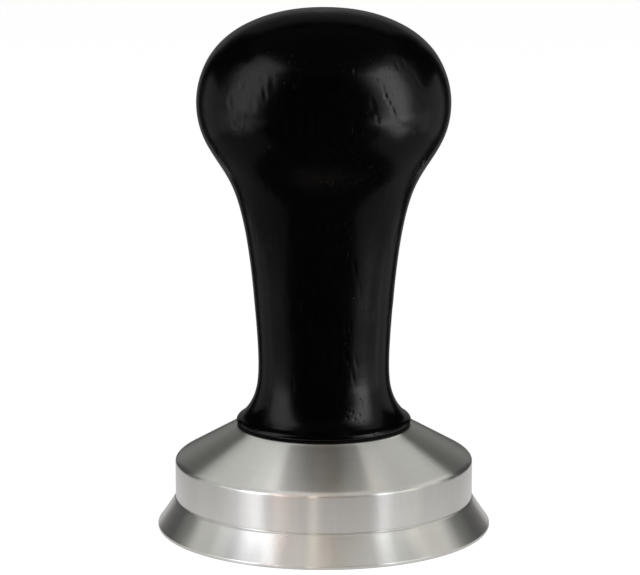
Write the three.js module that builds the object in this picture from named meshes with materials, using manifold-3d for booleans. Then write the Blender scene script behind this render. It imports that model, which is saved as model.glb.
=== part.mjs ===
// Espresso tamper: a turned stainless piston with a turned, black-lacquered
// wooden handle screwed onto it.
//
// Frame: millimetres, +Z up. The origin is the centre of the flat tamping face,
// and the whole tamper is turned about the Z axis.
//
// Pieces, from the bottom up:
//   base             solid stainless piston, with a blind M8 hole in its top
//   seat_washer      thin rubber ring between the base and the handle's foot
//   stud             M8 socket set screw, fixed in the insert, screwed into the base
//   threaded_insert  brass insert, coarse thread outside, M8 thread inside
//   handle           turned hardwood knob and neck, with a blind pocket in its foot
//
// The handle, insert and stud turn as one on the base's right-hand M8 thread and
// rise by one pitch each turn. All threads here share one helix phase, so the
// pieces are in mesh as built.

import * as THREE from "three";
import { mergeVertices } from "three/addons/utils/BufferGeometryUtils.js";
import Module from "manifold-3d";

const wasm = await Module();
wasm.setup();

// ---------------------------------------------------------------- dimensions

// Base (piston)
const FACE_R = 29.0; // 58 mm basket size
const FACE_EDGE = 0.4; // edge break round the tamping face
const LAND_TOP = 0.62; // short upright land above the edge break
const WAIST_R = 25.88; // straight band above the flared skirt
const WAIST_LOW = 5.29; // where the skirt meets the band
const WAIST_HIGH = 11.62; // where the band's rounded upper edge begins
const GROOVE_DEPTH = 0.14; // turned groove between skirt and band
const CONE_LOW_R = 25.1; // shoulder cone, lower end
const CONE_LOW_Z = 12.5;
const CONE_TOP_R = 15.56; // shoulder cone, upper end
const CONE_TOP_Z = 17.9;
const SEAT_R = 15.32; // flat seat under the handle
const SEAT_Z = 18.06;

// M8 x 1.25 thread, right hand
const PITCH = 1.25;
const THREAD_MAJOR_R = 3.95; // stud crest
const THREAD_MINOR_R = 3.2; // stud root
const THREAD_CREST = 0.156; // width of the crest flat
const THREAD_ROOT = 0.228; // width of the root flat
const THREAD_CLEARANCE = 0.24; // radial, between stud and tapped holes
const THREAD_STEPS = 16; // facets in one turn

// Tapped hole in the base
const HOLE_THREAD_LOW = 7.6; // end of full thread
const HOLE_DRILL_TIP = 5.6; // tip of the drill point
const HOLE_DRILL_R = 3.3; // plain hole below the thread
const HOLE_SINK_R = 4.8; // countersink at the seat

// Seat washer
const WASHER_LOW = 18.1;
const WASHER_HIGH = 18.56;
const WASHER_R = 15.08;
const WASHER_HOLE_R = 4.4;

// Stud
const STUD_LOW = 8.8; // tip, inside the base
const STUD_LENGTH = 24.0;
const STUD_CHAMFER = 0.8;
const STUD_HEX_AF = 4.0; // socket, across flats
const STUD_HEX_DEPTH = 4.5;

// Brass insert
const INSERT_LOW = 18.7; // a little above the handle's foot
const INSERT_LENGTH = 16.0;
const INSERT_CREST_R = 6.0;
const INSERT_ROOT_R = 5.2;
const INSERT_PITCH = 2.5;
const INSERT_CREST = 0.4;
const INSERT_ROOT = 0.9;
const INSERT_CHAMFER = 0.5;
const INSERT_SLOT_W = 1.6; // driver slot across the lower end
const INSERT_SLOT_DEPTH = 1.8;
const INSERT_STEPS = 20;

// Handle
const FOOT_Z = 18.6;
const HANDLE_TOP = 90.4;
const POCKET_R = 6.15;
const POCKET_TOP = 36.0;
const POCKET_TIP = 37.8;

// Facets round each turned piece
const BASE_FACETS = 72;
const HANDLE_FACETS = 56;
const BORE_FACETS = 32;

// Outer profile of the handle from the foot's edge to the crown, as [radius, height].
const HANDLE_PROFILE = [
  [15.0, FOOT_Z],
  [15.18, 18.7],
  [15.2, 18.9],
  [15.1, 19.15],
  [14.9, 19.4],
  [14.6, 19.6],
  [14.3, 19.78],
  [13.95, 20.14],
  [13.45, 20.72],
  [12.95, 21.42],
  [12.42, 22.4],
  [11.93, 23.7],
  [11.53, 25.6],
  [11.4, 28.3],
  [11.44, 31.2],
  [11.6, 34.2],
  [11.92, 38.3],
  [12.26, 42.3],
  [12.7, 46.4],
  [13.27, 50.4],
  [14.04, 54.5],
  [15.15, 58.5],
  [16.0, 60.6],
  [17.08, 62.6],
  [18.4, 64.6],
  [19.62, 66.6],
  [20.66, 68.6],
  [21.36, 70.7],
  [21.72, 72.7],
  [21.79, 74.7],
  [21.6, 76.8],
  [21.11, 78.75],
  [20.32, 80.78],
  [19.22, 82.69],
  [17.62, 84.61],
  [15.3, 86.52],
  [12.3, 88.14],
  [8.6, 89.43],
  [4.4, 90.2],
  [0, HANDLE_TOP],
];

// ------------------------------------------------------------------- helpers

// A manifold-3d solid from loose vertices and triangles, turned face out.
function solidFrom(positions, triangles) {
  const kept = [];
  let six = 0;
  for (let i = 0; i < triangles.length; i += 3) {
    const [a, b, c] = [triangles[i], triangles[i + 1], triangles[i + 2]];
    if (a === b || b === c || a === c) continue;
    kept.push(a, b, c);
    const p = (n) => new THREE.Vector3().fromArray(positions, 3 * n);
    six += p(a).dot(p(b).cross(p(c)));
  }
  if (six < 0)
    for (let i = 0; i < kept.length; i += 3)
      [kept[i + 1], kept[i + 2]] = [kept[i + 2], kept[i + 1]];
  return new wasm.Manifold(
    new wasm.Mesh({
      numProp: 3,
      vertProperties: new Float32Array(positions),
      triVerts: new Uint32Array(kept),
    }),
  );
}

// A manifold-3d solid from a three.js geometry.
function solidOf(geometry) {
  const g = geometry.clone();
  g.deleteAttribute("normal");
  g.deleteAttribute("uv");
  const merged = mergeVertices(g, 1e-4);
  return solidFrom(merged.attributes.position.array, merged.index.array);
}

// A solid of revolution about Z. The profile starts and ends on the axis.
function turned(profile, facets) {
  const points = profile.map(([r, z]) => new THREE.Vector2(r, z));
  return solidOf(new THREE.LatheGeometry(points, facets).rotateX(Math.PI / 2));
}

// A closed threaded rod about Z. The ridge follows the right-hand helix
// z = pitch * angle / 2 pi, so every rod made here shares one phase.
function threadedRod({ crestR, rootR, pitch, crest, root, low, high, steps }) {
  const flank = (pitch - crest - root) / 2;
  const profile = [
    [0, rootR],
    [root, rootR],
    [root + flank, crestR],
    [root + flank + crest, crestR],
  ];
  const first = Math.floor(low / pitch) - 2;
  const turns = Math.ceil(high / pitch) + 2 - first;
  const rows = 4 * turns;
  const positions = [];
  const index = new Map();
  const vertex = (i, j) => {
    if (i === steps) return vertex(0, j + 4);
    const key = i * 1e6 + j;
    if (!index.has(key)) {
      const [dz, r] = profile[j % 4];
      const angle = (2 * Math.PI * i) / steps;
      index.set(key, positions.length / 3);
      positions.push(
        r * Math.cos(angle),
        r * Math.sin(angle),
        pitch * (first + Math.floor(j / 4) + i / steps) + dz,
      );
    }
    return index.get(key);
  };
  const triangles = [];
  for (let i = 0; i < steps; i++)
    for (let j = 0; j < rows; j++) {
      const [a, b] = [vertex(i, j), vertex(i + 1, j)];
      const [c, d] = [vertex(i + 1, j + 1), vertex(i, j + 1)];
      triangles.push(a, b, c, a, c, d);
    }
  const bottom = positions.length / 3;
  positions.push(0, 0, pitch * (first + 0.5));
  const top = positions.length / 3;
  positions.push(0, 0, pitch * (first + turns + 0.5));
  for (let i = 0; i < steps; i++) {
    triangles.push(bottom, vertex(i + 1, 0), vertex(i, 0));
    triangles.push(top, vertex(i, rows), vertex(i + 1, rows));
  }
  for (let j = 0; j < 4; j++) {
    triangles.push(bottom, vertex(0, j), vertex(0, j + 1));
    triangles.push(top, vertex(0, rows + j + 1), vertex(0, rows + j));
  }
  return solidFrom(positions, triangles);
}

function mesh(name, solid, colour, roughness, metalness) {
  const made = solid.getMesh();
  const n = made.numProp;
  const position = new Float32Array(made.numVert * 3);
  for (let i = 0; i < made.numVert; i++)
    position.set(made.vertProperties.subarray(i * n, i * n + 3), i * 3);
  const geometry = new THREE.BufferGeometry();
  geometry.setAttribute("position", new THREE.BufferAttribute(position, 3));
  geometry.setIndex(new THREE.BufferAttribute(new Uint32Array(made.triVerts), 1));
  geometry.computeVertexNormals();
  const material = new THREE.MeshStandardMaterial({
    color: colour,
    roughness,
    metalness,
  });
  material.name = name;
  const out = new THREE.Mesh(geometry, material);
  out.name = name;
  return out;
}

// -------------------------------------------------------------------- pieces

const studThread = {
  crestR: THREAD_MAJOR_R,
  rootR: THREAD_MINOR_R,
  pitch: PITCH,
  crest: THREAD_CREST,
  root: THREAD_ROOT,
  steps: THREAD_STEPS,
};
const tappedThread = {
  ...studThread,
  crestR: THREAD_MAJOR_R + THREAD_CLEARANCE,
  rootR: THREAD_MINOR_R + THREAD_CLEARANCE,
};

// The part of a threaded rod between two heights, inside radius r.
function threadBetween(thread, low, high, r) {
  const limit = turned(
    [
      [0, low],
      [r, low],
      [r, high],
      [0, high],
    ],
    BORE_FACETS,
  );
  return threadedRod({ ...thread, low, high }).intersect(limit);
}

function makeBase() {
  const body = turned(
    [
      [0, 0],
      [FACE_R - FACE_EDGE, 0],
      [FACE_R, FACE_EDGE],
      [FACE_R, LAND_TOP],
      [27.36, 2.9],
      [WAIST_R + 0.08, WAIST_LOW - 0.14],
      [WAIST_R - GROOVE_DEPTH, WAIST_LOW],
      [WAIST_R - GROOVE_DEPTH, WAIST_LOW + 0.14],
      [WAIST_R, WAIST_LOW + 0.26],
      [WAIST_R, WAIST_HIGH],
      [WAIST_R - 0.09, WAIST_HIGH + 0.36],
      [WAIST_R - 0.36, WAIST_HIGH + 0.66],
      [CONE_LOW_R, CONE_LOW_Z],
      [CONE_TOP_R, CONE_TOP_Z],
      [SEAT_R, SEAT_Z],
      [0, SEAT_Z],
    ],
    BASE_FACETS,
  );
  const minor = THREAD_MINOR_R + THREAD_CLEARANCE;
  const drilled = turned(
    [
      [0, HOLE_DRILL_TIP],
      [HOLE_DRILL_R, HOLE_THREAD_LOW - 0.1],
      [HOLE_DRILL_R, HOLE_THREAD_LOW + PITCH],
      [0, HOLE_THREAD_LOW + PITCH],
    ],
    BORE_FACETS,
  );
  const sunk = turned(
    [
      [0, SEAT_Z - (HOLE_SINK_R - minor) - 0.1],
      [minor - 0.1, SEAT_Z - (HOLE_SINK_R - minor) - 0.1],
      [HOLE_SINK_R + 0.2, SEAT_Z + 0.2],
      [0, SEAT_Z + 0.2],
    ],
    BORE_FACETS,
  );
  const tapped = threadBetween(
    tappedThread,
    HOLE_THREAD_LOW,
    SEAT_Z + 1,
    THREAD_MAJOR_R + 1,
  );
  return body.subtract(drilled.add(sunk).add(tapped));
}

function makeWasher() {
  return turned(
    [
      [0, WASHER_LOW],
      [WASHER_R - 0.1, WASHER_LOW],
      [WASHER_R, WASHER_LOW + 0.1],
      [WASHER_R, WASHER_HIGH - 0.1],
      [WASHER_R - 0.1, WASHER_HIGH],
      [0, WASHER_HIGH],
    ],
    BASE_FACETS,
  ).subtract(
    turned(
      [
        [0, WASHER_LOW - 1],
        [WASHER_HOLE_R, WASHER_LOW - 1],
        [WASHER_HOLE_R, WASHER_HIGH + 1],
        [0, WASHER_HIGH + 1],
      ],
      BORE_FACETS,
    ),
  );
}

function makeStud() {
  const high = STUD_LOW + STUD_LENGTH;
  const blank = turned(
    [
      [0, STUD_LOW],
      [THREAD_MAJOR_R - STUD_CHAMFER, STUD_LOW],
      [THREAD_MAJOR_R + 0.05, STUD_LOW + STUD_CHAMFER + 0.05],
      [THREAD_MAJOR_R + 0.05, high - STUD_CHAMFER - 0.05],
      [THREAD_MAJOR_R - STUD_CHAMFER, high],
      [0, high],
    ],
    BORE_FACETS,
  );
  const cornerR = STUD_HEX_AF / Math.sqrt(3);
  const socket = solidOf(
    new THREE.CylinderGeometry(cornerR, cornerR, STUD_HEX_DEPTH + 1, 6)
      .rotateX(Math.PI / 2)
      .translate(0, 0, STUD_LOW + (STUD_HEX_DEPTH - 1) / 2),
  );
  const point = turned(
    [
      [0, STUD_LOW + STUD_HEX_DEPTH - 0.1],
      [1.7, STUD_LOW + STUD_HEX_DEPTH - 0.1],
      [0, STUD_LOW + STUD_HEX_DEPTH + 0.9],
    ],
    24,
  );
  return threadedRod({ ...studThread, low: STUD_LOW, high })
    .intersect(blank)
    .subtract(socket.add(point));
}

function makeInsert() {
  const low = INSERT_LOW;
  const high = INSERT_LOW + INSERT_LENGTH;
  const blank = turned(
    [
      [0, low],
      [INSERT_CREST_R - INSERT_CHAMFER, low],
      [INSERT_CREST_R + 0.05, low + INSERT_CHAMFER + 0.05],
      [INSERT_CREST_R + 0.05, high - INSERT_CHAMFER - 0.35],
      [INSERT_ROOT_R - 0.1, high],
      [0, high],
    ],
    BORE_FACETS,
  );
  const outside = threadedRod({
    crestR: INSERT_CREST_R,
    rootR: INSERT_ROOT_R,
    pitch: INSERT_PITCH,
    crest: INSERT_CREST,
    root: INSERT_ROOT,
    low,
    high,
    steps: INSERT_STEPS,
  }).intersect(blank);
  const inside = threadedRod({ ...tappedThread, low, high });
  const slot = solidOf(
    new THREE.BoxGeometry(
      4 * INSERT_CREST_R,
      INSERT_SLOT_W,
      2 * INSERT_SLOT_DEPTH,
    ).translate(0, 0, low),
  );
  return outside.subtract(inside.add(slot));
}

function makeHandle() {
  const body = turned(
    [[0, FOOT_Z], ...HANDLE_PROFILE],
    HANDLE_FACETS,
  );
  const pocket = turned(
    [
      [0, FOOT_Z - 1],
      [POCKET_R + 1.3, FOOT_Z - 1],
      [POCKET_R, FOOT_Z + 0.3],
      [POCKET_R, POCKET_TOP],
      [0, POCKET_TIP],
    ],
    BORE_FACETS,
  );
  return body.subtract(pocket);
}

// ------------------------------------------------------------------ assembly

const tamper = new THREE.Group();
tamper.name = "espresso_tamper";

const piston = new THREE.Group();
piston.name = "piston";
piston.add(mesh("base", makeBase(), 0xb4b0a8, 0.28, 1.0));

const seat = new THREE.Group();
seat.name = "seat";
seat.add(mesh("seat_washer", makeWasher(), 0x070707, 0.75, 0.0));

const grip = new THREE.Group();
grip.name = "grip";
grip.add(
  mesh("handle", makeHandle(), 0x0a0a0a, 0.38, 0.0),
  mesh("threaded_insert", makeInsert(), 0xb08a3e, 0.35, 1.0),
  mesh("stud", makeStud(), 0x8c8f93, 0.35, 1.0),
);

tamper.add(piston, seat, grip);

export default tamper;
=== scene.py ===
import math

import bpy
import numpy as np
from mathutils import Matrix, Vector


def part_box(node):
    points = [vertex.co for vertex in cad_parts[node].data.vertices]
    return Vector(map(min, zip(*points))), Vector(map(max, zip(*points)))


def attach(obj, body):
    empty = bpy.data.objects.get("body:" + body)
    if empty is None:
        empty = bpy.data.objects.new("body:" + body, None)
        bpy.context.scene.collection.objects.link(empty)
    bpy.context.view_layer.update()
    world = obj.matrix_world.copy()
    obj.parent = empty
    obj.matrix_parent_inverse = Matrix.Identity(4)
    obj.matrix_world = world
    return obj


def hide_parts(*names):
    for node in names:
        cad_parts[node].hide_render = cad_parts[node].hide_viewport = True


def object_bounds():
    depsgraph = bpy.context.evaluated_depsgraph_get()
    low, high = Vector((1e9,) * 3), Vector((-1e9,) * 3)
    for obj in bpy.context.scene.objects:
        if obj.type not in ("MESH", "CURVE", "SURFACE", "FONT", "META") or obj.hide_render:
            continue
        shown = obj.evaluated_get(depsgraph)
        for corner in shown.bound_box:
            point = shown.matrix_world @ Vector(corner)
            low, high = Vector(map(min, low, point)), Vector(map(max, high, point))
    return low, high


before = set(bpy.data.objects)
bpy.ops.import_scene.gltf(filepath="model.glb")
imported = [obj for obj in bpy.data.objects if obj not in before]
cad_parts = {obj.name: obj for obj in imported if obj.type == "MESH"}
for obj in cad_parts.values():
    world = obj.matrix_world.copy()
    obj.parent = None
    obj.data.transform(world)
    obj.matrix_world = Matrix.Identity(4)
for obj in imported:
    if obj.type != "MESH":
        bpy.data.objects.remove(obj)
cad_lo, cad_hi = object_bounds()

MM = 0.001
scene = bpy.context.scene


# ------------------------------------------------------------------ CAD places

def span(node):
    """Lowest and highest height of a CAD node and its outer radius, in millimetres."""
    lo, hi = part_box(node)
    return lo[2] / MM, hi[2] / MM, (hi[0] - lo[0]) / 2 / MM


BASE_LOW, BASE_HIGH, BASE_R = span("base")
WASHER_LOW, WASHER_HIGH, WASHER_R = span("seat_washer")
STUD_LOW, STUD_HIGH, STUD_R = span("stud")
INSERT_LOW, INSERT_HIGH, INSERT_R = span("threaded_insert")
FOOT_Z, CROWN_Z, KNOB_R = span("handle")


# -------------------------------------------------------------- mesh in code

def turned_mesh(name, rows, count, cyclic=False):
    """A closed mesh from rings of `count` points, or single points on the axis, in millimetres."""
    verts, starts = [], []
    for row in rows:
        row = np.atleast_2d(np.asarray(row, dtype=float))
        starts.append((sum(len(v) for v in verts), len(row)))
        verts.append(row)
    verts = np.vstack(verts) * MM
    faces = []
    k = np.arange(count)
    k2 = (k + 1) % count
    pairs = list(zip(starts[:-1], starts[1:]))
    if cyclic:
        pairs.append((starts[-1], starts[0]))
    for (a, na), (b, nb) in pairs:
        if na == 1 and nb == 1:
            continue
        if na == 1:
            faces.extend(np.column_stack([np.full(count, a), b + k2, b + k]).tolist())
        elif nb == 1:
            faces.extend(np.column_stack([a + k, a + k2, np.full(count, b)]).tolist())
        else:
            faces.extend(np.column_stack([a + k, a + k2, b + k2, b + k]).tolist())
    mesh = bpy.data.meshes.new(name)
    mesh.from_pydata(verts.tolist(), [], faces)
    mesh.update()
    # face out
    six = 0.0
    mesh.calc_loop_triangles()
    tris = np.empty(len(mesh.loop_triangles) * 3, dtype=np.int32)
    mesh.loop_triangles.foreach_get("vertices", tris)
    tris = tris.reshape(-1, 3)
    a, b, c = verts[tris[:, 0]], verts[tris[:, 1]], verts[tris[:, 2]]
    six = float(np.einsum("ij,ij->i", a, np.cross(b, c)).sum())
    if six < 0:
        mesh.flip_normals()
    piece = bpy.data.objects.new(name, mesh)
    scene.collection.objects.link(piece)
    return piece


def smooth(piece, degrees):
    piece.data.polygons.foreach_set("use_smooth", [True] * len(piece.data.polygons))
    piece.data.set_sharp_from_angle(angle=math.radians(degrees))
    piece.data.update()


def ring(r, z, phi):
    """Points at radius r and height z, where phi is 0 at the front (-Y) and grows towards +X."""
    r = np.broadcast_to(r, phi.shape)
    z = np.broadcast_to(z, phi.shape)
    return np.column_stack([r * np.sin(phi), -r * np.cos(phi), z])


def even(count):
    return np.linspace(0, 2 * math.pi, count, endpoint=False)


def bezier(p0, p1, p2, steps):
    t = np.linspace(0, 1, steps + 1)[:, None]
    p0, p1, p2 = map(np.array, (p0, p1, p2))
    return ((1 - t) ** 2 * p0 + 2 * t * (1 - t) * p1 + t**2 * p2).tolist()


def line(p0, p1, steps):
    t = np.linspace(0, 1, steps + 1)[:, None]
    p0, p1 = np.array(p0), np.array(p1)
    return (p0 + t * (p1 - p0)).tolist()


def join_path(*parts):
    path = []
    for part in parts:
        for p in part:
            if not path or math.dist(path[-1], p) > 1e-6:
                path.append(tuple(p))
    return path


def thread_radius(z, phi, pitch, root, crest, root_r, crest_r):
    """Radius of a right-hand thread at height z and angle phi, with the CAD's helix phase."""
    theta = phi - math.pi / 2
    flank = (pitch - root - crest) / 2
    at = np.mod(z - pitch * theta / (2 * math.pi), pitch)
    return np.interp(
        at,
        [0, root, root + flank, root + flank + crest, pitch],
        [root_r, root_r, crest_r, crest_r, root_r],
    )


def smoothstep(a, b, x):
    t = np.clip((x - a) / (b - a), 0, 1)
    return t * t * (3 - 2 * t)


# ------------------------------------------------------------------------ base

PITCH = 1.25
CLEARANCE = 0.24


def build_base():
    n = 192
    phi = even(n)
    face_edge = BASE_R - 0.4
    path = join_path(
        line((2.0, 0), (face_edge, 0), 22),
        bezier((face_edge, 0), (BASE_R, 0), (BASE_R, 0.4), 8),
        line((BASE_R, 0.4), (BASE_R, 0.56), 2),
        bezier((BASE_R, 0.56), (BASE_R, 0.66), (BASE_R - 0.09, 0.75), 4),
        bezier((BASE_R - 0.09, 0.75), (27.30, 2.92), (26.02, 5.08), 40),
        bezier((26.02, 5.08), (25.93, 5.2), (25.8, 5.25), 4),
        bezier((25.8, 5.25), (25.73, 5.29), (25.73, 5.36), 4),
        bezier((25.73, 5.36), (25.73, 5.45), (25.82, 5.5), 4),
        bezier((25.82, 5.5), (25.88, 5.54), (25.88, 5.62), 4),
        line((25.88, 5.62), (25.88, 11.6), 30),
        bezier((25.88, 11.6), (25.88, 12.04), (25.1, 12.5), 14),
        line((25.1, 12.5), (15.58, 17.89), 40),
        line((15.58, 17.89), (15.36, BASE_HIGH - 0.02), 3),
        bezier((15.36, BASE_HIGH - 0.02), (15.34, BASE_HIGH), (15.3, BASE_HIGH), 3),
        line((15.3, BASE_HIGH), (4.9, BASE_HIGH), 16),
        line((4.9, BASE_HIGH), (4.8, BASE_HIGH), 1),
    )
    rows = [[(0, 0, 0)]]
    rows += [ring(r, z, phi) for r, z in path]
    # countersink, thread and drill point, one ring at a time down the hole
    for z in np.arange(BASE_HIGH - 0.0625, 7.6, -0.0625):
        wall = thread_radius(z, phi, PITCH, 0.228, 0.156, 3.2 + CLEARANCE, 3.95 + CLEARANCE)
        wall = 3.3 + (wall - 3.3) * smoothstep(7.6, 8.5, z)
        rows.append(ring(np.maximum(wall, 4.8 - (BASE_HIGH - z)), z, phi))
    for r, z in ((3.3, 7.55), (3.3, 7.5), (2.2, 6.87), (1.1, 6.23)):
        rows.append(ring(r, z, phi))
    rows.append([(0, 0, 5.6)])
    piece = turned_mesh("tamper_base", rows, n)
    smooth(piece, 32)
    return piece


def build_washer():
    n = 192
    phi = even(n)
    lo, hi, outer, inner, e = WASHER_LOW, WASHER_HIGH, WASHER_R, 4.4, 0.13
    path = join_path(
        line((inner + e, lo), (outer - e, lo), 14),
        bezier((outer - e, lo), (outer, lo), (outer, lo + e), 5),
        line((outer, lo + e), (outer, hi - e), 3),
        bezier((outer, hi - e), (outer, hi), (outer - e, hi), 5),
        line((outer - e, hi), (inner + e, hi), 14),
        bezier((inner + e, hi), (inner, hi), (inner, hi - e), 5),
        line((inner, hi - e), (inner, lo + e), 3),
        bezier((inner, lo + e), (inner, lo), (inner + e, lo), 5)[:-1],
    )
    piece = turned_mesh("foot_ring", [ring(r, z, phi) for r, z in path], n, cyclic=True)
    smooth(piece, 40)
    return piece


def build_stud():
    n = 96
    phi = even(n)
    lo, hi = STUD_LOW, STUD_HIGH
    flat = 4.0 / 2
    sector = np.mod(phi + math.pi / 6, math.pi / 3) - math.pi / 6
    # the socket's corners lie on +X and -X, as in the CAD
    hexagon = flat / np.cos(np.mod(phi + math.pi / 6 + math.pi / 6, math.pi / 3) - math.pi / 6)
    del sector
    bottom = lo + 4.5
    rows = [[(0, 0, bottom + 0.9)]]
    rows.append(ring(0.85, bottom + 0.45, phi))
    rows.append(ring(1.68, bottom + 0.01, phi))
    rows.append(ring(np.maximum(hexagon - 0.12, 1.72), bottom, phi))
    rows.append(ring(hexagon, bottom, phi))
    for z in np.linspace(bottom - 0.3, lo + 0.12, 12):
        rows.append(ring(hexagon, z, phi))
    rows.append(ring(hexagon + 0.03, lo + 0.05, phi))
    rows.append(ring(hexagon + 0.1, lo, phi))
    rows.append(ring(2.75, lo, phi))
    rows.append(ring(3.1, lo, phi))
    for z in np.arange(lo + 0.05, hi - 0.02, 0.0625):
        r = thread_radius(z, phi, PITCH, 0.228, 0.156, 3.2, 3.95)
        r = np.minimum(r, 3.15 + (z - lo))
        r = np.minimum(r, 3.15 + (hi - z))
        rows.append(ring(r, z, phi))
    for r in (3.1, 2.6, 1.7, 0.8):
        rows.append(ring(r, hi, phi))
    rows.append([(0, 0, hi)])
    piece = turned_mesh("set_screw", rows, n)
    smooth(piece, 45)
    return piece


def build_insert():
    n = 96
    phi = even(n)
    lo, hi = INSERT_LOW, INSERT_HIGH
    rows = []
    for r in (4.3, 4.6, 5.1, 5.45):
        rows.append(ring(r, lo, phi))
    for z in np.arange(lo + 0.08, hi - 0.02, 0.1):
        r = thread_radius(z, phi, 2.5, 0.9, 0.4, 5.2, 6.0)
        r = np.minimum(r, 5.5 + (z - lo))
        r = np.minimum(r, 5.1 + (hi - z))
        rows.append(ring(r, z, phi))
    for r in (5.05, 4.7, 4.3):
        rows.append(ring(r, hi, phi))
    for z in np.arange(hi - 0.08, lo + 0.02, -0.08):
        wall = thread_radius(z, phi, PITCH, 0.228, 0.156, 3.2 + CLEARANCE, 3.95 + CLEARANCE)
        wall = np.maximum(wall, 4.25 - (hi - z))
        wall = np.maximum(wall, 4.25 - (z - lo))
        rows.append(ring(wall, z, phi))
    piece = turned_mesh("brass_insert", rows, n, cyclic=True)
    # driver slot across the lower end
    bpy.ops.mesh.primitive_cube_add(size=1, location=(0, 0, lo * MM))
    cutter = bpy.context.object
    cutter.scale = (20 * MM, 1.6 * MM, 3.6 * MM)
    cut = piece.modifiers.new("slot", "BOOLEAN")
    cut.operation = "DIFFERENCE"
    cut.object = cutter
    cut.solver = "EXACT"
    depsgraph = bpy.context.evaluated_depsgraph_get()
    made = bpy.data.meshes.new_from_object(piece.evaluated_get(depsgraph))
    piece.modifiers.clear()
    piece.data = made
    made.name = "brass_insert"
    bpy.data.objects.remove(cutter)
    smooth(piece, 40)
    return piece


# ---------------------------------------------------------------------- handle

# Outer profile from the foot's edge to the crown, as [radius, height].
PROFILE = [
    (15.0, 18.6), (15.18, 18.7), (15.2, 18.9), (15.1, 19.15), (14.9, 19.4),
    (14.6, 19.6), (14.3, 19.78), (13.95, 20.14), (13.45, 20.72), (12.95, 21.42),
    (12.42, 22.4), (11.93, 23.7), (11.53, 25.6), (11.4, 28.3), (11.44, 31.2), (11.6, 34.2),
    (11.92, 38.3), (12.26, 42.3), (12.7, 46.4), (13.27, 50.4), (14.04, 54.5),
    (15.15, 58.5), (16.0, 60.6), (17.08, 62.6), (18.4, 64.6), (19.62, 66.6),
    (20.66, 68.6), (21.36, 70.7), (21.72, 72.7), (21.79, 74.7), (21.6, 76.8),
    (21.11, 78.75), (20.32, 80.78), (19.22, 82.69), (17.62, 84.61), (15.3, 86.52),
    (12.3, 88.14), (8.6, 89.43), (4.4, 90.2), (0, 90.4),
]


def handle_profile():
    """The profile as a smooth curve, sampled finely."""
    pts = np.array(PROFILE, dtype=float)
    # mirror past the crown so that the top is level there
    pts = np.vstack([pts, [(-r, z) for r, z in pts[-2:-6:-1]]])
    seg = np.hypot(*np.diff(pts, axis=0).T)
    knots = np.r_[0, np.cumsum(np.sqrt(seg))]
    fine = []
    for i in range(len(pts) - 1):
        p0 = pts[max(i - 1, 0)]
        p1, p2 = pts[i], pts[i + 1]
        p3 = pts[min(i + 2, len(pts) - 1)]
        t0, t1, t2, t3 = (knots[max(i - 1, 0)], knots[i], knots[i + 1], knots[min(i + 2, len(pts) - 1)])
        if i == 0:
            t0 = t1 - 0.2
            p0 = p1 - np.array([0.06, 0.0])
        if i + 2 > len(pts) - 1:
            t3 = t2 + 0.5
        for t in np.linspace(t1, t2, 24, endpoint=False):
            a1 = (t1 - t) / (t1 - t0) * p0 + (t - t0) / (t1 - t0) * p1
            a2 = (t2 - t) / (t2 - t1) * p1 + (t - t1) / (t2 - t1) * p2
            a3 = (t3 - t) / (t3 - t2) * p2 + (t - t2) / (t3 - t2) * p3
            b1 = (t2 - t) / (t2 - t0) * a1 + (t - t0) / (t2 - t0) * a2
            b2 = (t3 - t) / (t3 - t1) * a2 + (t - t1) / (t3 - t1) * a3
            fine.append((t2 - t) / (t2 - t1) * b1 + (t - t1) / (t2 - t1) * b2)
    fine = np.array(fine)
    s = np.r_[0, np.cumsum(np.hypot(*np.diff(fine, axis=0).T))]
    step = 0.05
    at = np.arange(0, s[-1], step)
    curve = np.column_stack([np.interp(at, s, fine[:, 0]), np.interp(at, s, fine[:, 1])])

    # soften measuring noise, but leave the small bead at the foot as it is
    def blurred(c, sigma):
        half = int(4 * sigma / step)
        k = np.exp(-0.5 * (np.arange(-half, half + 1) * step / sigma) ** 2)
        k /= k.sum()
        out = np.empty_like(c)
        for d in (0, 1):
            padded = np.r_[2 * c[0, d] - c[half:0:-1, d], c[:, d], 2 * c[-1, d] - c[-2 : -half - 2 : -1, d]]
            out[:, d] = np.convolve(padded, k, mode="valid")
        return out

    wide = blurred(curve, 1.7)
    wide = wide + blurred(curve - wide, 1.7)
    fine_ = blurred(curve, 0.09)
    w = smoothstep(20.6, 25.5, curve[:, 1])[:, None]
    curve = fine_ * (1 - w) + wide * w
    curve = curve[curve[:, 0] > 0.15]
    curve[:, 1] = np.minimum(curve[:, 1], CROWN_Z - 1e-4)
    return curve


def resample(curve, spacing):
    """Points along a curve, where spacing(radius, height) says how far apart."""
    s = np.r_[0, np.cumsum(np.hypot(*np.diff(curve, axis=0).T))]
    at, out = 0.0, []
    while at < s[-1]:
        r, z = np.interp(at, s, curve[:, 0]), np.interp(at, s, curve[:, 1])
        out.append((r, z))
        at += spacing(r, z)
    out.append(tuple(curve[-1]))
    return np.array(out)


def segment_distance(px, py, a, b):
    """Distance to a segment, and how far along it, from 0 to 1."""
    (ax, ay), (bx, by) = a, b
    dx, dy = bx - ax, by - ay
    t = np.clip(((px - ax) * dx + (py - ay) * dy) / (dx * dx + dy * dy), 0, 1)
    return np.hypot(px - ax - t * dx, py - ay - t * dy), t


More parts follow.
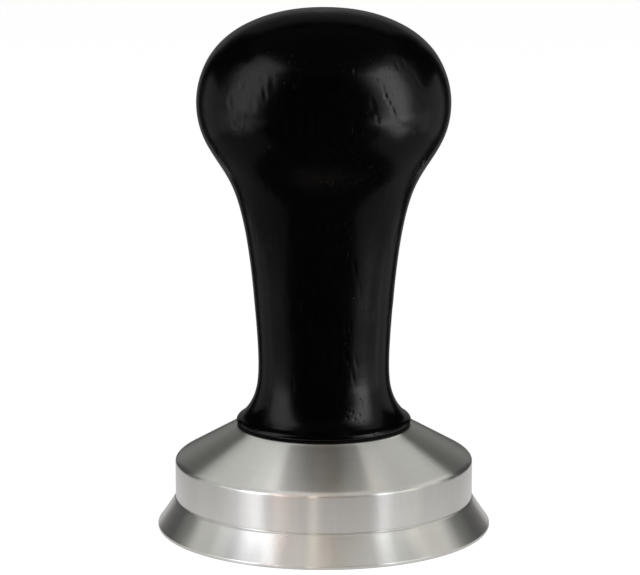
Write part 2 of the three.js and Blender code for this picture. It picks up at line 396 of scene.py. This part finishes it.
def handle_hollows(phi, z, r):
    """How far the surface is sunk below the turned shape at each point, in millimetres."""
    deg = np.degrees(np.mod(phi + math.pi, 2 * math.pi) - math.pi)
    x = np.radians(deg) * r  # distance round the surface
    sunk = np.zeros_like(z)

    def crack(points, width, depth):
        nonlocal sunk
        path = [(math.radians(d) * rr, zz) for d, zz, rr in points]
        total = len(path) - 1
        best = np.full_like(z, 9.0)
        along = np.zeros_like(z)
        for i in range(total):
            dist, t = segment_distance(x, z, path[i], path[i + 1])
            closer = dist < best
            best = np.where(closer, dist, best)
            along = np.where(closer, (i + t) / total, along)
        shape = np.exp(-((best / width) ** 2))
        ends = smoothstep(0, 0.18, along) * smoothstep(1, 0.8, along)
        sunk += depth * shape * (0.25 + 0.75 * ends)

    def pit(d, zz, rr, wide, tall, depth, lean=0.0):
        nonlocal sunk
        dx = x - math.radians(d) * rr
        dz = z - zz
        u = dx * math.cos(lean) + dz * math.sin(lean)
        v = -dx * math.sin(lean) + dz * math.cos(lean)
        q = (u / wide) ** 2 + (v / tall) ** 2
        sunk += depth * np.exp(-q) - 0.22 * depth * np.exp(-(((np.sqrt(q) - 1.7) / 0.5) ** 2))

    # a long check along the grain on the knob's right, with a few pores in line
    crack([(27.5, 80.0, 20.7), (28.6, 77.9, 21.3), (30.0, 76.7, 21.6)], 0.16, 0.035)
    crack([(30.9, 76.2, 21.65), (32.2, 74.9, 21.75), (34.9, 72.5, 21.7)], 0.17, 0.10)
    pit(28.4, 77.9, 21.3, 0.26, 0.34, 0.07, 0.3)
    pit(29.9, 76.7, 21.6, 0.24, 0.34, 0.08, 0.3)
    pit(24.0, 74.3, 21.7, 0.30, 0.75, 0.05, 0.3)
    pit(22.0, 76.5, 21.6, 0.40, 1.00, 0.03, 0.3)
    crack([(46.5, 81.4, 20.0), (48.9, 79.2, 20.9), (52.5, 77.4, 21.5)], 0.20, 0.035)
    pit(43.0, 82.6, 19.4, 0.3, 0.8, 0.04, 0.3)
    pit(38.5, 82.8, 19.3, 0.3, 0.8, 0.04, 0.3)
    # pores and small pits on its left
    pit(-40.8, 79.2, 20.9, 0.45, 0.60, 0.085, 0.4)
    pit(-36.5, 79.8, 20.7, 0.30, 0.55, 0.075, 0.4)
    pit(-35.5, 81.2, 20.2, 0.24, 0.32, 0.055, 0.3)
    pit(-27.2, 78.3, 21.2, 0.30, 0.95, 0.065, 0.2)
    pit(-29.5, 80.6, 20.5, 0.45, 1.30, 0.045, 0.2)
    pit(-39.6, 73.9, 21.8, 0.30, 0.85, 0.10, 0.1)
    pit(-43.4, 72.8, 21.7, 0.34, 0.60, 0.085, 0.4)
    pit(-37.4, 74.7, 21.8, 0.42, 0.95, -0.055, 0.1)
    pit(-33.0, 76.6, 21.6, 0.55, 1.20, 0.035, 0.1)
    pit(-46.0, 76.3, 21.6, 0.50, 1.10, 0.045, 0.3)
    pit(-52.0, 78.3, 21.2, 0.55, 1.20, 0.040, 0.4)
    pit(-24.0, 80.0, 20.7, 0.5, 1.4, 0.035, 0.1)
    # specks of dust caught in the lacquer
    pit(13.5, 82.3, 19.5, 0.28, 0.55, -0.06, 0.2)
    pit(10.5, 72.3, 21.6, 0.34, 0.40, -0.09, 0.7)
    pit(-29.2, 36.3, 11.8, 0.20, 0.30, -0.06, 0.0)
    # a short curved score low on the neck, and a few small dents beside it
    crack([(10.0, 24.6, 11.75), (11.4, 23.9, 11.85), (14.2, 22.9, 12.1)], 0.14, 0.055)
    pit(17.8, 23.3, 11.95, 0.24, 0.20, 0.030, 0.5)
    pit(20.6, 22.8, 12.1, 0.20, 0.30, 0.026, -0.4)
    pit(23.2, 22.7, 12.15, 0.34, 0.22, 0.034, 0.3)
    pit(29.4, 22.1, 12.3, 0.28, 0.36, 0.040, 0.2)
    pit(24.6, 21.5, 12.7, 0.38, 0.20, 0.036, -0.3)
    pit(27.0, 21.2, 12.8, 0.22, 0.20, 0.026, 0.0)
    pit(31.8, 21.3, 12.8, 0.26, 0.24, 0.030, 0.6)
    pit(18.6, 21.9, 12.4, 0.20, 0.26, 0.022, 0.2)
    pit(33.0, 24.2, 11.8, 0.18, 0.22, 0.020, 0.0)
    # a small knock on the bead's edge
    pit(36.0, 19.0, 15.2, 0.34, 0.22, 0.12)
    # long soft unevenness that hand sanding leaves, a few hundredths of a millimetre
    sanded = (
        0.012 * np.sin(3 * phi + 0.11 * z + 0.8)
        + 0.009 * np.sin(5 * phi - 0.17 * z + 2.1)
        + 0.006 * np.sin(8 * phi + 0.31 * z + 4.0)
        + 0.004 * np.sin(0.9 * z + 1.3 * np.sin(2 * phi))
    )
    sunk += (sanded + 0.031) * smoothstep(20.5, 26, z) * smoothstep(CROWN_Z, CROWN_Z - 3, z)
    # pore fleck all round, sunk a few microns along the grain
    rng = np.random.default_rng(41)
    for _ in range(150):
        d = rng.uniform(-180, 180)
        zz = rng.uniform(27, 86)
        if -60 < d < 60 and 68 < zz:
            continue
        near = (np.abs(z - zz) < 3.5) & (np.abs(np.mod(deg - d + 180, 360) - 180) < 9)
        if not near.any():
            continue
        wide, tall, depth = rng.uniform(0.22, 0.4), rng.uniform(0.5, 1.5), rng.uniform(0.02, 0.06)
        dx = np.radians(np.mod(deg - d + 180, 360) - 180) * r
        dz = z - zz
        lean = 0.25 * math.cos(math.radians(d))
        u = dx * math.cos(lean) + dz * math.sin(lean)
        v = -dx * math.sin(lean) + dz * math.cos(lean)
        sunk += np.where(near, depth * np.exp(-((u / wide) ** 2) - (v / tall) ** 2), 0)
    return sunk


def build_handle():
    # finer columns where the checks and dents are
    deg = np.linspace(-180, 180, 7201)
    density = (
        1.0
        + 1.3 * smoothstep(4, 10, deg) * smoothstep(56, 50, deg)
        + 0.8 * smoothstep(-56, -50, deg) * smoothstep(-20, -26, deg)
    )
    total = np.r_[0, np.cumsum((density[1:] + density[:-1]) / 2)]
    n = 288
    phi = np.radians(np.interp(np.linspace(0, total[-1], n, endpoint=False), total, deg))

    def spacing(r, z):
        if z < 20.3:
            return 0.11
        if z < 25.5:
            return 0.19
        if z < 69:
            return 0.48
        if z < 83.5:
            return 0.26
        return 0.42

    outer = resample(handle_profile(), spacing)
    pocket = join_path(
        line((1.2, 37.8 - 1.8 * 1.2 / 6.15), (6.15, 36.0), 4),
        line((6.15, 36.0), (6.15, FOOT_Z + 0.45), 12),
        bezier((6.15, FOOT_Z + 0.45), (6.18, FOOT_Z + 0.1), (6.55, FOOT_Z), 5),
        line((6.55, FOOT_Z), (14.62, FOOT_Z), 14),
    )
    rows = [[(0, 0, 37.8)]]
    rows += [ring(r, z, phi) for r, z in pocket]
    slope = np.gradient(outer, axis=0)
    slope /= np.hypot(*slope.T)[:, None]
    for (r, z), (tr, tz) in zip(outer, slope):
        if r < 2.0:
            sunk = np.zeros_like(phi)
        else:
            sunk = handle_hollows(phi, np.full_like(phi, z), np.full_like(phi, r))
            sunk = sunk * float(smoothstep(2.0, 6.0, r))
        # inward along the surface normal
        rows.append(ring(r - tz * sunk, np.maximum(z + tr * sunk, FOOT_Z), phi))
    rows.append([(0, 0, CROWN_Z)])
    piece = turned_mesh("turned_handle", rows, n)
    smooth(piece, 60)
    return piece


# ------------------------------------------------------------------- materials

class Nodes:
    def __init__(self, name):
        self.mat = bpy.data.materials.new(name)
        self.mat.use_nodes = True
        self.tree = self.mat.node_tree
        self.tree.nodes.clear()
        self.out = self.tree.nodes.new("ShaderNodeOutputMaterial")
        self.shader = self.tree.nodes.new("ShaderNodeBsdfPrincipled")
        self.tree.links.new(self.shader.outputs[0], self.out.inputs[0])

    def new(self, kind, inputs=None, **props):
        node = self.tree.nodes.new(kind)
        for k, v in props.items():
            setattr(node, k, v)
        for k, v in (inputs or {}).items():
            self.put(node.inputs[k], v)
        return node

    def put(self, socket, value):
        if isinstance(value, bpy.types.NodeSocket):
            self.tree.links.new(value, socket)
        elif isinstance(value, bpy.types.Node):
            self.tree.links.new(value.outputs[0], socket)
        else:
            socket.default_value = value

    def math(self, op, a, b=0.0, c=0.0, clamp=False):
        node = self.new("ShaderNodeMath", operation=op, use_clamp=clamp)
        for i, v in enumerate((a, b, c)):
            if i < len(node.inputs):
                self.put(node.inputs[i], v)
        return node.outputs[0]

    def place(self):
        """Object place in millimetres: vector, x, y, z and radius."""
        tc = self.new("ShaderNodeTexCoord")
        mm = self.new("ShaderNodeVectorMath", operation="SCALE")
        self.put(mm.inputs[0], tc.outputs["Object"])
        mm.inputs["Scale"].default_value = 1000.0
        sep = self.new("ShaderNodeSeparateXYZ", {0: mm.outputs[0]})
        x, y, z = sep.outputs
        r = self.math("SQRT", self.math("ADD", self.math("MULTIPLY", x, x), self.math("MULTIPLY", y, y)))
        return mm.outputs[0], x, y, z, r

    def combine(self, x, y, z):
        return self.new("ShaderNodeCombineXYZ", {0: x, 1: y, 2: z}).outputs[0]

    def noise(self, vector, scale, detail=2.0, rough=0.5, distortion=0.0):
        return self.new(
            "ShaderNodeTexNoise",
            {"Vector": vector, "Scale": scale, "Detail": detail, "Roughness": rough, "Distortion": distortion},
        ).outputs[0]

    def ramp(self, value, lo, hi, a=0.0, b=1.0, kind="SMOOTHSTEP"):
        return self.new(
            "ShaderNodeMapRange",
            {"Value": value, "From Min": lo, "From Max": hi, "To Min": a, "To Max": b},
            interpolation_type=kind,
        ).outputs[0]

    def mix(self, factor, a, b):
        node = self.new("ShaderNodeMix", data_type="RGBA")
        self.put(node.inputs[0], factor)
        self.put(node.inputs[6], a)
        self.put(node.inputs[7], b)
        return node.outputs[2]

    def bump(self, height, distance, normal=None, strength=1.0):
        node = self.new("ShaderNodeBump", {"Height": height, "Distance": distance, "Strength": strength})
        if normal is not None:
            self.put(node.inputs["Normal"], normal)
        return node.outputs[0]

    def stretched(self, vector, scale, tilt=0.0):
        return self.new(
            "ShaderNodeMapping",
            {"Vector": vector, "Scale": scale, "Rotation": (0.0, tilt, 0.0)},
        ).outputs[0]


def steel():
    m = Nodes("turned_stainless_steel")
    p, x, y, z, r = m.place()
    # tool marks run round the axis: they change only across the profile
    lines = m.combine(r, z, 0.0)
    fine = m.noise(lines, 5.0, 1.0, 0.5)
    coarse = m.noise(lines, 1.6, 1.0, 0.5)
    # round-about unevenness, which shows as streaks up and down the surface; the same streaks also lighten the base
    # colour below, a painted streak highlight
    ux = m.math("DIVIDE", x, m.math("MAXIMUM", r, 0.5))
    uy = m.math("DIVIDE", y, m.math("MAXIMUM", r, 0.5))
    around = m.combine(ux, uy, m.math("MULTIPLY", z, 0.004))
    streak_relief_and_sheen = m.noise(around, 34.0, 3.0, 0.55)
    broad = m.noise(around, 9.0, 1.0, 0.5)
    smudge = m.noise(p, 0.09, 4.0, 0.6)
    rough = m.math("ADD", m.math("MULTIPLY", coarse, 0.02), 0.275)
    rough = m.math("ADD", rough, m.math("MULTIPLY", m.math("SUBTRACT", smudge, 0.5), 0.06))
    # base colour a few percent lighter along the up-and-down streaks, a painted streak highlight, and along the
    # turning rings, the tool marks' own tone
    colour = m.mix(
        m.ramp(m.math("ADD", m.math("MULTIPLY", streak_relief_and_sheen, 0.6), m.math("MULTIPLY", coarse, 0.4)), 0.3, 0.7),
        (0.645, 0.627, 0.600, 1),
        (0.672, 0.656, 0.630, 1),
    )
    colour = m.mix(m.ramp(smudge, 0.55, 0.8, 0.0, 0.25), colour, (0.52, 0.495, 0.465, 1))
    m.put(m.shader.inputs["Base Color"], colour)
    m.put(m.shader.inputs["Metallic"], 1.0)
    m.put(m.shader.inputs["Roughness"], rough)
    m.put(m.shader.inputs["Anisotropic"], 0.92)
    m.put(m.shader.inputs["Anisotropic Rotation"], 0.25)
    tangent = m.new("ShaderNodeTangent", direction_type="RADIAL", axis="Z")
    m.put(m.shader.inputs["Tangent"], tangent.outputs[0])
    height = m.math("ADD", m.math("MULTIPLY", fine, 0.00008 * MM), m.math("MULTIPLY", coarse, 0.0006 * MM))
    height = m.math("ADD", height, m.math("MULTIPLY", streak_relief_and_sheen, 0.0012 * MM))
    height = m.math("ADD", height, m.math("MULTIPLY", broad, 0.006 * MM))
    m.put(m.shader.inputs["Normal"], m.bump(height, 1.0))
    return m.mat


def lacquer():
    m = Nodes("black_lacquered_wood")
    p, x, y, z, r = m.place()
    grain = m.stretched(p, (1.0, 1.0, 0.11), 0.26)
    fibre = m.noise(grain, 1.7, 4.0, 0.6)
    pores = m.ramp(m.noise(grain, 2.3, 2.0, 0.5), 0.655, 0.72)
    cluster = m.ramp(m.noise(p, 0.14, 2.0), 0.42, 0.62)
    pores = m.math("MULTIPLY", pores, cluster)
    peel = m.noise(p, 0.62, 3.0, 0.55)
    soft = m.noise(p, 0.22, 2.0, 0.5)
    rings = m.noise(m.combine(m.math("MULTIPLY", r, 0.25), z, 0.0), 1.5, 3.0, 0.6)
    dust = m.ramp(m.noise(p, 2.3, 1.0), 0.80, 0.825)
    scuff = m.ramp(m.noise(m.stretched(p, (0.5, 0.5, 7.0), 0.0), 0.8, 2.0), 0.70, 0.78)
    # bare turned wood inside the pocket
    inside = m.math(
        "MULTIPLY", m.ramp(r, 6.35, 6.2), m.ramp(z, 41.0, 39.0), clamp=True
    )
    black = m.mix(m.ramp(fibre, 0.35, 0.7), (0.0007, 0.0006, 0.0006, 1), (0.0020, 0.0017, 0.0015, 1))
    black = m.mix(m.math("MULTIPLY", pores, 0.5), black, (0.0006, 0.0005, 0.0005, 1))
    black = m.mix(m.math("MULTIPLY", dust, 0.35), black, (0.10, 0.095, 0.09, 1))
    bare = m.mix(m.ramp(fibre, 0.3, 0.75), (0.30, 0.16, 0.075, 1), (0.14, 0.065, 0.03, 1))
    m.put(m.shader.inputs["Base Color"], m.mix(inside, black, bare))
    rough = m.math("ADD", m.math("MULTIPLY", peel, 0.10), 0.16)
    rough = m.math("ADD", rough, m.math("MULTIPLY", m.math("SUBTRACT", soft, 0.5), 0.10))
    rough = m.math("ADD", rough, m.math("MULTIPLY", pores, 0.12))
    rough = m.math("ADD", rough, m.math("MULTIPLY", scuff, 0.05))
    rough = m.math("ADD", rough, m.math("MULTIPLY", inside, 0.4), clamp=True)
    m.put(m.shader.inputs["Roughness"], rough)
    m.put(m.shader.inputs["Specular IOR Level"], 0.42)
    height = m.math("MULTIPLY", peel, 0.011 * MM)
    height = m.math("ADD", height, m.math("MULTIPLY", soft, 0.03 * MM))
    height = m.math("ADD", height, m.math("MULTIPLY", rings, 0.005 * MM))
    height = m.math("ADD", height, m.math("MULTIPLY", fibre, 0.004 * MM))
    height = m.math("SUBTRACT", height, m.math("MULTIPLY", pores, 0.014 * MM))
    height = m.math("ADD", height, m.math("MULTIPLY", dust, 0.012 * MM))
    height = m.math("SUBTRACT", height, m.math("MULTIPLY", scuff, 0.0015 * MM))
    m.put(m.shader.inputs["Normal"], m.bump(height, 1.0))
    return m.mat


def rubber():
    m = Nodes("black_rubber")
    p, x, y, z, r = m.place()
    grit = m.noise(p, 9.0, 4.0, 0.65)
    patch = m.noise(p, 0.5, 3.0, 0.5)
    bloom = m.ramp(patch, 0.45, 0.75)
    m.put(m.shader.inputs["Base Color"], m.mix(bloom, (0.0025, 0.0025, 0.0026, 1), (0.0060, 0.0060, 0.0062, 1)))
    m.put(m.shader.inputs["Roughness"], m.math("ADD", m.math("MULTIPLY", grit, 0.15), 0.66))
    m.put(m.shader.inputs["Specular IOR Level"], 0.12)
    height = m.math("ADD", m.math("MULTIPLY", grit, 0.012 * MM), m.math("MULTIPLY", patch, 0.02 * MM))
    m.put(m.shader.inputs["Normal"], m.bump(height, 1.0))
    return m.mat


def brass():
    m = Nodes("machined_brass")
    p, x, y, z, r = m.place()
    lines = m.combine(r, z, 0.0)
    fine = m.noise(lines, 9.0, 2.0, 0.6)
    tarnish = m.noise(p, 0.7, 4.0, 0.6)
    m.put(
        m.shader.inputs["Base Color"],
        m.mix(m.ramp(tarnish, 0.45, 0.75), (0.83, 0.60, 0.27, 1), (0.52, 0.34, 0.14, 1)),
    )
    m.put(m.shader.inputs["Metallic"], 1.0)
    rough = m.math("ADD", m.math("MULTIPLY", tarnish, 0.25), 0.16)
    m.put(m.shader.inputs["Roughness"], m.math("ADD", rough, m.math("MULTIPLY", fine, 0.06)))
    m.put(m.shader.inputs["Anisotropic"], 0.5)
    m.put(m.shader.inputs["Anisotropic Rotation"], 0.25)
    tangent = m.new("ShaderNodeTangent", direction_type="RADIAL", axis="Z")
    m.put(m.shader.inputs["Tangent"], tangent.outputs[0])
    m.put(m.shader.inputs["Normal"], m.bump(m.math("MULTIPLY", fine, 0.003 * MM), 1.0))
    return m.mat


def zinc():
    m = Nodes("zinc_plated_steel")
    p, x, y, z, r = m.place()
    cloud = m.noise(p, 0.8, 4.0, 0.55)
    grit = m.noise(p, 7.0, 3.0, 0.6)
    crest = m.ramp(r, 3.55, 3.95)
    colour = m.mix(m.ramp(cloud, 0.35, 0.7), (0.56, 0.565, 0.57, 1), (0.48, 0.485, 0.52, 1))
    colour = m.mix(m.math("MULTIPLY", crest, 0.5), colour, (0.68, 0.68, 0.67, 1))
    m.put(m.shader.inputs["Base Color"], colour)
    m.put(m.shader.inputs["Metallic"], 1.0)
    rough = m.math("ADD", m.math("MULTIPLY", cloud, 0.2), 0.26)
    rough = m.math("SUBTRACT", rough, m.math("MULTIPLY", crest, 0.08))
    m.put(m.shader.inputs["Roughness"], m.math("ADD", rough, m.math("MULTIPLY", grit, 0.08)))
    m.put(m.shader.inputs["Normal"], m.bump(m.math("MULTIPLY", grit, 0.006 * MM), 1.0))
    return m.mat


# ------------------------------------------------------------ pieces in place

PIECES = [
    (build_base, steel, "base", "base", "turned_steel"),
    (build_washer, rubber, "washer", "seat_washer", "seat_rubber"),
    (build_stud, zinc, "handle", "stud", "stud_steel"),
    (build_insert, brass, "handle", "threaded_insert", "insert_brass"),
    (build_handle, lacquer, "handle", "handle", "lacquered_wood"),
]
made = {}
for build, material, body, node, slot in PIECES:
    piece = build()
    piece.data.materials.clear()
    piece.data.materials.append(material())
    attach(piece, body)
    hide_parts(node)
    made[node] = piece


# --------------------------------------------------------------- floor, lights

def disc(name, r0, r1, z, count=128):
    phi = even(count)
    verts, faces = [], []
    if r0 == 0:
        verts.append((0, 0, z))
        verts += [(r1 * math.sin(a), -r1 * math.cos(a), z) for a in phi]
        faces = [(0, 1 + i, 1 + (i + 1) % count) for i in range(count)]
    else:
        verts += [(r0 * math.sin(a), -r0 * math.cos(a), z) for a in phi]
        verts += [(r1 * math.sin(a), -r1 * math.cos(a), z) for a in phi]
        faces = [(i, count + i, count + (i + 1) % count, (i + 1) % count) for i in range(count)]
    mesh = bpy.data.meshes.new(name)
    mesh.from_pydata(verts, [], faces)
    mesh.update()
    if mesh.polygons[0].normal.z < 0:
        mesh.flip_normals()
    obj = bpy.data.objects.new(name, mesh)
    scene.collection.objects.link(obj)
    return obj


def floor_material():
    m = Nodes("pale_floor")
    p, x, y, z, r = m.place()
    tone = m.noise(p, 0.02, 3.0)
    m.put(m.shader.inputs["Base Color"], m.mix(tone, (0.82, 0.82, 0.82, 1), (0.85, 0.85, 0.85, 1)))
    m.put(m.shader.inputs["Roughness"], 0.9)
    m.put(m.shader.inputs["Specular IOR Level"], 0.0)
    m.put(m.shader.inputs["Emission Color"], (1, 1, 1, 1))
    m.put(m.shader.inputs["Emission Strength"], 0.97)
    # clear from below, so that the tamping face can be looked at
    side = m.new("ShaderNodeNewGeometry")
    clear = m.new("ShaderNodeBsdfTransparent")
    both = m.new("ShaderNodeMixShader")
    m.put(both.inputs[0], side.outputs["Backfacing"])
    m.put(both.inputs[1], m.shader)
    m.put(both.inputs[2], clear)
    m.put(m.out.inputs[0], both)
    return m.mat


floor_mat = floor_material()
floor_z = float(cad_lo[2]) - 0.00004
floor = disc("floor", 0.0, 4.0, floor_z)
floor.data.materials.append(floor_mat)
# the lights below stand in for what the floor reflects
floor.visible_glossy = False
floor.visible_shadow = False

# a pale backdrop for the views that look above the floor
bpy.ops.mesh.primitive_uv_sphere_add(segments=48, ring_count=24, radius=4.2)
backdrop = bpy.context.object
backdrop.name = "backdrop"
pale = bpy.data.materials.new("pale_backdrop")
pale.use_nodes = True
pale.node_tree.nodes.clear()
glow = pale.node_tree.nodes.new("ShaderNodeEmission")
glow.inputs["Color"].default_value = (1, 1, 1, 1)
glow.inputs["Strength"].default_value = 1.0
end = pale.node_tree.nodes.new("ShaderNodeOutputMaterial")
pale.node_tree.links.new(glow.outputs[0], end.inputs[0])
backdrop.data.materials.append(pale)
backdrop.visible_glossy = False
backdrop.visible_diffuse = False
backdrop.visible_shadow = False
backdrop.visible_transmission = False


def receivers(name, *nodes):
    group = bpy.data.collections.new(name)
    for n in nodes:
        group.objects.link(made[n])
    return group


metal = receivers("metal_lit", "base", "stud", "threaded_insert")
black = receivers("black_lit", "handle", "seat_washer")
AIM = Vector((0, 0, 0.045))


def softbox(name, az, el, wide, tall, radiance, group=None, dist=0.8, aim=AIM, colour=(1, 1, 1), roll=0.0, spread=180):
    """A rectangular soft light seen from the object at an azimuth and elevation, its size in degrees."""
    a, e = math.radians(az), math.radians(el)
    out = Vector((math.sin(a) * math.cos(e), -math.cos(a) * math.cos(e), math.sin(e)))
    data = bpy.data.lights.new(name, "AREA")
    data.shape = "RECTANGLE"
    data.size = 2 * dist * math.tan(math.radians(wide) / 2)
    data.size_y = 2 * dist * math.tan(math.radians(tall) / 2)
    data.energy = radiance * math.pi * data.size * data.size_y
    data.color = colour
    data.spread = math.radians(spread)
    light = bpy.data.objects.new(name, data)
    scene.collection.objects.link(light)
    light.location = aim + out * dist
    turn = (-out).to_track_quat("-Z", "Y")
    light.rotation_mode = "QUATERNION"
    light.rotation_quaternion = turn @ Matrix.Rotation(math.radians(roll), 3, "Z").to_quaternion()
    light.visible_camera = False
    if group is not None:
        light.light_linking.receiver_collection = group
    return light


def panel(name, x0, x1, y0, y1, z, radiance, group, colour=(1, 1, 1)):
    """A level rectangular light that shines down."""
    data = bpy.data.lights.new(name, "AREA")
    data.shape = "RECTANGLE"
    data.size, data.size_y = x1 - x0, y1 - y0
    data.energy = radiance * math.pi * data.size * data.size_y
    data.color = colour
    light = bpy.data.objects.new(name, data)
    scene.collection.objects.link(light)
    light.location = ((x0 + x1) / 2, (y0 + y1) / 2, z)
    light.visible_camera = False
    light.light_linking.receiver_collection = group
    return light


# the handle sees a tall soft box on each side, brightest in its middle, with a dim
# surround, and a little light from the floor and from the wall behind
for side in (
    ("box_right_core", 69, 21, 19, 52, 1.75),
    ("box_right", 69, 21, 31, 56, 0.80),
    ("box_right_edge", 76, 20, 56, 70, 0.22),
    ("box_left_core", -71, 28, 22, 54, 0.25),
    ("box_left", -78, 26, 34, 62, 0.60),
    ("box_left_edge", -80, 12, 52, 60, 0.12),
    ("low_right", 82, -14, 56, 18, 0.22),
    ("low_left", -88, -14, 40, 18, 0.10),
    ("side_right", 120, -4, 34, 34, 0.20),
    ("side_left", -120, -4, 34, 34, 0.16),
    ("floor_right", 95, -36, 72, 26, 0.15),
    ("floor_left", -100, -36, 72, 26, 0.09),
    ("floor_behind", 180, -36, 46, 26, 1.10),
    ("wall_behind", 180, 0, 50, 40, 0.15),
    ("wall_behind_high", 180, 30, 40, 24, 0.05),
    ("ceiling_dim", 0, 89.9, 80, 80, 0.02),
):
    softbox(*side, black)


def floor_patch(name, az, near, far, width, radiance, group):
    """A pale patch of floor seen by one group only, from `near` to `far` metres away."""
    a = math.radians(az)
    mid = (near + far) / 2
    data = bpy.data.lights.new(name, "AREA")
    data.shape = "RECTANGLE"
    data.size, data.size_y = width, far - near
    data.energy = radiance * math.pi * data.size * data.size_y
    light = bpy.data.objects.new(name, data)
    scene.collection.objects.link(light)
    light.location = (mid * math.sin(a), -mid * math.cos(a), floor_z + 0.00002)
    light.rotation_euler = (math.pi, 0, -a)
    light.visible_camera = False
    light.light_linking.receiver_collection = group
    return light


floor_patch("patch_right", 69, 0.25, 0.62, 0.17, 1.9, black)
floor_patch("patch_right_near", 69, 0.19, 0.25, 0.10, 1.5, black)
floor_patch("patch_right_nearest", 69, 0.15, 0.19, 0.06, 0.7, black)
floor_patch("patch_left", -80, 0.25, 0.62, 0.22, 0.40, black)
floor_patch("patch_left_near", -78, 0.18, 0.25, 0.10, 0.35, black)

# The steel sees a wall of soft light round it. Each stretch is given as its two
# azimuths in degrees, its level and its colour: cool at the sides, warm in front.
COOL, PALE, CREAM, WARM = (0.92, 0.95, 1.0), (0.98, 1.0, 0.97), (1.0, 0.87, 0.73), (1.0, 0.79, 0.68)
WALL = [
    (-126, -110, 0.19, PALE), (-110, -86, 0.77, PALE), (-86, -78, 1.21, PALE), (-78, -66, 1.55, COOL),
    (-66, -58, 3.62, COOL), (-58, -46, 4.98, COOL), (-46, -38, 1.01, (1.0, 0.94, 0.91)),
    (-38, -30, 2.40, (1.0, 0.82, 0.76)), (-30, -22, 1.24, WARM), (-22, -14, 0.76, WARM),
    (-10, -6, 3.58, CREAM), (-6, 2, 0.30, WARM), (2, 14, 0.44, (1.0, 0.82, 0.68)), (14, 26, 0.30, WARM),
    (26, 34, 0.49, CREAM), (38, 42, 1.13, PALE), (42, 50, 3.77, COOL), (50, 70, 1.52, PALE),
    (70, 78, 1.43, (1.0, 0.98, 0.90)), (78, 102, 0.81, (1.0, 0.99, 0.92)), (102, 110, 0.54, PALE),
    (110, 126, 0.14, PALE), (126, 154, 0.06, PALE), (154, 180, 0.22, PALE),
    (180, 206, 0.22, PALE), (206, 234, 0.06, PALE),
]
for i, (a0, a1, level, colour) in enumerate(WALL):
    softbox(f"wall_{i}", (a0 + a1) / 2, 14, (a1 - a0) * 1.02, 34, level, metal, colour=colour)
softbox("wall_high", -48, 43, 6.5, 24, 2.5, metal, colour=COOL)

# over it hangs a ceiling, dimmer ahead than behind
for i, (x0, x1, level, colour) in enumerate([
    (-0.85, -0.2, 0.78, PALE), (-0.2, -0.12, 1.54, PALE), (-0.12, 0.12, 2.4, (1.0, 0.97, 0.92)),
    (0.12, 0.2, 1.0, (1.0, 0.96, 0.88)), (0.2, 0.6, 0.61, PALE), (0.6, 0.85, 1.45, PALE),
]):
    panel(f"ceiling_behind_{i}", x0, x1, 0.0, 0.85, 0.7, level, metal, colour)
for i, (x0, x1, level, colour) in enumerate([
    (-0.6, -0.3, 0.4, COOL), (-0.3, -0.06, 0.88, PALE), (-0.06, 0.06, 0.88, (1.0, 0.94, 0.87)),
    (0.06, 0.12, 0.63, (1.0, 0.93, 0.80)), (0.12, 0.6, 0.73, PALE), (0.6, 0.85, 0.23, PALE),
]):
    panel(f"ceiling_ahead_{i}", x0, x1, -0.8, 0.0, 0.7, level, metal, colour)

bounce = bpy.data.lights.new("floor_bounce", "AREA")
bounce.shape = "DISK"
bounce.size = 0.18
bounce.energy = 0.74 * math.pi * math.pi * 0.09**2
bounce_light = bpy.data.objects.new("floor_bounce", bounce)
scene.collection.objects.link(bounce_light)
bounce_light.location = (0, 0, floor_z + 0.00002)
bounce_light.rotation_euler = (math.pi, 0, 0)
bounce_light.visible_camera = False
bounce_light.light_linking.receiver_collection = metal

# a little light for the floor, from above
over = softbox("overhead", 0, 89.9, 80, 80, 0.10)
over.visible_glossy = False

world = bpy.data.worlds.new("studio")
scene.world = world
world.use_nodes = True
wt = world.node_tree
wt.nodes.clear()
w_out = wt.nodes.new("ShaderNodeOutputWorld")
w_bg = wt.nodes.new("ShaderNodeBackground")
w_bg.inputs["Strength"].default_value = 0.004
w_bg.inputs["Color"].default_value = (1, 1, 1, 1)
wt.links.new(w_bg.outputs[0], w_out.inputs[0])
scene.view_settings.view_transform = "Standard"
scene.view_settings.look = "None"

# ---------------------------------------------------------------------- camera

cam_data = bpy.data.cameras.new("camera")
cam_data.sensor_width = 36.0
cam_data.lens = 166.05
cam_data.shift_x = -0.0059
cam_data.clip_start = 0.05
cam_data.clip_end = 20.0
camera = bpy.data.objects.new("camera", cam_data)
scene.collection.objects.link(camera)
camera.location = (0.0, -0.5, 0.14199)
camera.rotation_euler = (math.radians(90) - 0.1971, 0.0, 0.0)
scene.camera = camera
